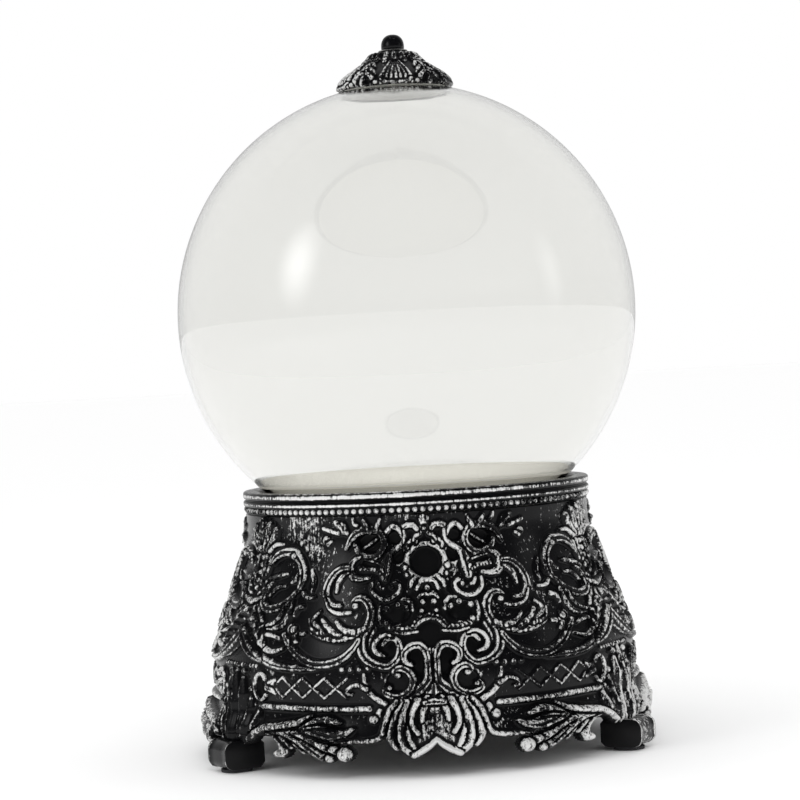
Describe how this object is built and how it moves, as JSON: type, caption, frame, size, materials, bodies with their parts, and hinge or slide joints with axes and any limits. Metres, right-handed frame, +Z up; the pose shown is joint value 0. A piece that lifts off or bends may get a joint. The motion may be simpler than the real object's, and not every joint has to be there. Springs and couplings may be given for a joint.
{
  "type": "crystal ball",
  "caption": "Clear hollow ball on a waisted, scroll-covered base with scrolled feet and a leafy finial; battery light and switch inside the base.",
  "frame": {"origin": "on the ball's upright axis, at the floor that the feet stand on", "axes": "+Z up along the axis of ball and base; the front face with its middle cartouche looks along -Y, and one foot points along +Y"},
  "size_m": [0.1992, 0.2038, 0.3096],
  "materials": {
    "base_casting": "cast resin, gloss black with silver dry-brushed relief",
    "collar": "plain bright washer",
    "clear_globe": "clear, blown, polished",
    "white_sheet": "translucent off-white sheet",
    "rubber": "moulded, black",
    "foam_pad": "soft adhesive pad",
    "felt": "dark felt",
    "steel": "zinc plated",
    "spring_steel": "nickel plated",
    "circuit_board": "green solder mask",
    "led_lens": "clear epoxy",
    "black_plastic": "moulded, fine texture",
    "cell_wrap": "printed film, plain",
    "switch_case": "folded tin plate",
    "switch_lever": "white moulding",
    "black_wire": "PVC sleeve",
    "red_wire": "PVC sleeve"
  },
  "bodies": {
    "base": {"base_body": "base_casting", "rim_ring": "base_casting", "globe": "clear_globe", "globe_gasket": "rubber", "diffuser_sheet": "white_sheet", "finial_cap": "base_casting", "finial_pad": "foam_pad", "finial_collar": "collar", "finial_knob": "base_casting", "finial_stud": "steel", "led_board": "circuit_board", "bottom_plate": "black_plastic", "battery_box": "black_plastic", "door_pin": "steel", "switch_body": "switch_case", "lead_black": "black_wire", "lead_red": "red_wire", "lead_switched": "red_wire", "foot_pad_1": "felt", "foot_pad_2": "felt", "foot_pad_3": "felt", "board_screw_1": "steel", "board_screw_2": "steel", "board_screw_3": "steel", "led_1": "led_lens", "led_2": "led_lens", "led_3": "led_lens", "plate_screw_1": "steel", "plate_screw_2": "steel", "plate_screw_3": "steel", "box_screw_1": "steel", "box_screw_2": "steel", "cell_1": "cell_wrap", "cell_2": "cell_wrap", "cell_3": "cell_wrap", "contact_spring_1": "spring_steel", "contact_spring_2": "spring_steel", "contact_spring_3": "spring_steel", "contact_plate_1": "spring_steel", "contact_plate_2": "spring_steel", "contact_plate_3": "spring_steel", "switch_screw_1": "steel", "switch_screw_2": "steel"},
    "door": {"battery_door": "black_plastic"},
    "power_lever": {"switch_slider": "switch_lever"}
  },
  "joints": [
    {"name": "battery_door_hinge", "type": "hinge", "parent": "base", "child": "door", "pos_m": [0, -0.0246, 0.0205], "axis": [-1, 0, 0], "range_deg": [0, 100]},
    {"name": "power_switch_slide", "type": "slide", "parent": "base", "child": "power_lever", "axis": [1, 0, 0], "range_m": [0, 0.004]}
  ]
}
